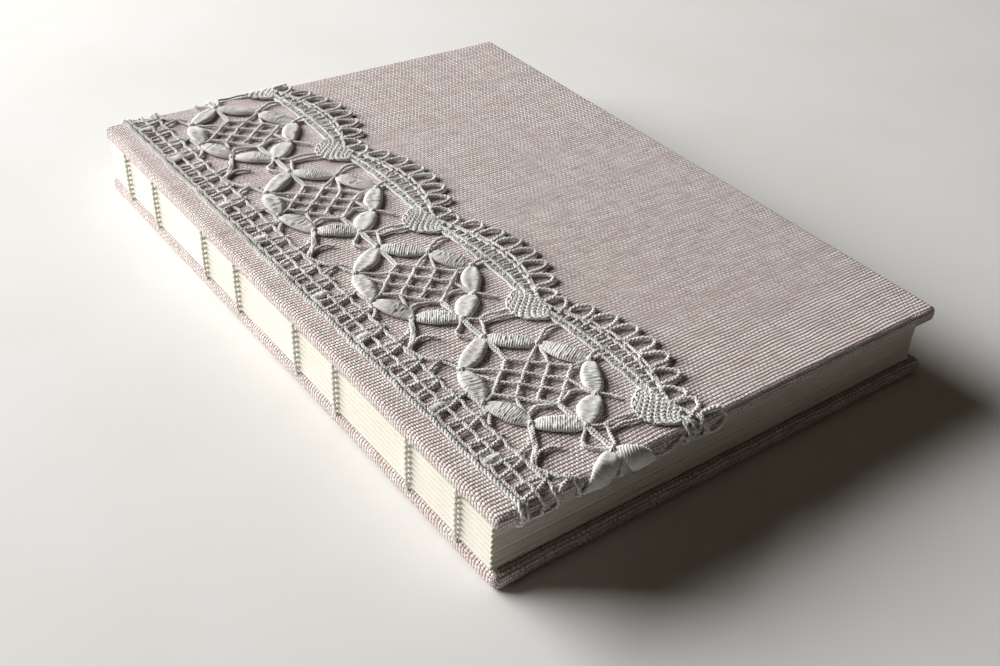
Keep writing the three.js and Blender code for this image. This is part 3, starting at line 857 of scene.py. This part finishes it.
trail_lines, zigzags, rungs, loops = [], [], [], []
for centre in ring_centres:
    v = np.linspace(-lace_repeat / 2, lace_repeat / 2, 60)
    for valley, rise in ((54.3, 1.2), (55.4, 2.6), (56.9, 5.5), (56.2, 8.0)):
        trail_lines.append(np.stack([headside(valley, rise, v), centre + v], axis=-1))
    for phase, inner, outer in ((0, (54.0, 1.1), (55.6, 2.6)), (1, (54.9, 1.6), (56.3, 3.7))):
        v = np.arange(-24.8, 24.9, 0.9)
        odd = (np.arange(len(v)) + phase) % 2
        zigzag = headside(*inner, v) * odd + headside(*outer, v) * (1 - odd)
        zigzags.append(np.stack([zigzag, centre + v], axis=-1))
    for v in np.arange(-22.0, 22.1, 2.75):
        rungs.append([
            (headside(55.7, 3.4, v), centre + v * 0.98), (headside(56.9, 5.5, v), centre + v * 1.02)])
    for k in range(loops_per_scallop):
        v = (k - (loops_per_scallop - 1) / 2) * lace_repeat / loops_per_scallop
        base = np.array([headside(56.2, 8.4, v), v])
        tip = np.array([headside(60.9, 10.7, v), v * 1.07 - 0.4])
        out = tip - base
        across = np.array([-out[1], out[0]]) / np.linalg.norm(out)
        tau = np.linspace(0, 1, 31)[:, None]
        far = np.sin(math.pi * tau) ** 0.75
        path = base + out * far + across * loop_half_width * np.cos(math.pi * tau) * (1 - 0.3 * far ** 3)
        loops.append(path + [0, centre])
        for side in (-1, 1):
            foot = np.array([headside(56.7, 5.4, v + side * 1.2), v + side * 1.2])
            rungs.append(np.stack([foot, base + across * loop_half_width * side * 0.97]) + [0, centre])
lace_piece("lace_trail", [
    plaits(trail_lines, width=1.0, step=0.38), plaits(zigzags, width=0.8, step=0.55),
    plaits(rungs, width=1.05)])
lace_piece("lace_loops", [plaits(loops, width=1.3)])

fan_passives, fan_rows, fan_half_length = 9, 15, 7.6
fan_tip, fan_edges = 54.3, (47.5, 57.3)  # from the spine edge: its ends, and its sides where it is widest
first_passive, passives_wide = 47.9, 9.0
fan_shift = 0.8  # a fan's middle from the valley, towards the head
fullness = 2.6
fan_height, weave_height = lace_base + 0.6, 0.2
fan_paths = []
for valley in between_rings:
    t = np.linspace(-1, 1, 48)
    swell = 1 - np.abs(t) ** fullness
    for k in range(fan_passives):
        u = fan_tip + (first_passive + passives_wide * k / (fan_passives - 1) - fan_tip) * swell
        h = fan_height + weave_height * np.sin(math.pi * fan_rows * (t + 1) / 2 + k * math.pi)
        fan_paths.append(np.stack([u, valley + fan_shift + fan_half_length * t, h], axis=-1))
    for row in range(fan_rows):
        along = (row + 0.5) / fan_rows * 2 - 1
        swell_here = 1 - abs(along) ** fullness
        ends = [fan_tip + (edge - fan_tip) * swell_here for edge in fan_edges]
        s = np.linspace(0, 1, 48)
        h = fan_height + weave_height * np.sin(math.pi * fan_passives * s + row * math.pi)
        v = valley + fan_shift + fan_half_length * along + 0.2 * np.sin(s * 40 + row)
        fan_paths.append(np.stack([ends[0] + (ends[1] - ends[0]) * s, v, h], axis=-1))
lace_piece("lace_fans", [tubes(np.stack(fan_paths), 0.33, sides=6)])


# ---------------------------------------------------------------------------------------------
# Room: a pale matt table top, one soft window beyond the head on the spine's side, and a dim warm fill from
# the rest of the room. None of it belongs to the book.
table_half, table_drop = 1500, 0.05  # half its side, and how far it lies below the book
floor = piece("table_top", [
    (-table_half, -table_half, 0), (table_half, -table_half, 0), (table_half, table_half, 0),
    (-table_half, table_half, 0)], [(0, 1, 2, 3)])
floor.data.transform(Matrix.Translation((0, 0, -table_drop * MM)))
table, tree, shader = material("matt_white_table")
place = node(tree, "TexCoord").outputs["Object"]
cloud_size = 60.0
clouds = node(tree, "TexNoise", {"Vector": place, "Scale": 1 / (cloud_size * MM), "Detail": 4.0})
tree.links.new(
    toned(tree, clouds.outputs[0], 0.3, 0.7, linear("e8e7e3"), linear("ecebe8")),
    shader.inputs["Base Color"])
shader.inputs["Roughness"].default_value = 0.9
floor.data.materials.append(table)


def window(name, place, target, size, power, colour):
    """A soft rectangular light at a place, aimed at a target, both in metres."""
    data = bpy.data.lights.new(name, "AREA")
    data.shape, data.size, data.size_y, data.energy, data.color = "RECTANGLE", size[0], size[1], power, colour
    made = bpy.data.objects.new(name, data)
    away = Vector(place) - Vector(target)
    made.matrix_world = Matrix.Translation(Vector(place)) @ away.to_track_quat("Z", "Y").to_matrix().to_4x4()
    bpy.context.collection.objects.link(made)


window("window_light", (-0.77, 1.33, 0.68), (0.0, 0.0, 0.0), (1.68, 0.92), 68.0, (1.0, 0.998, 0.995))
world = bpy.data.worlds.new("dim_room")
bpy.context.scene.world = world
world.use_nodes = True
world.node_tree.nodes["Background"].inputs[0].default_value = (1.0, 0.8, 0.55, 1.0)
world.node_tree.nodes["Background"].inputs[1].default_value = 0.03
bpy.context.scene.view_settings.view_transform = "Standard"
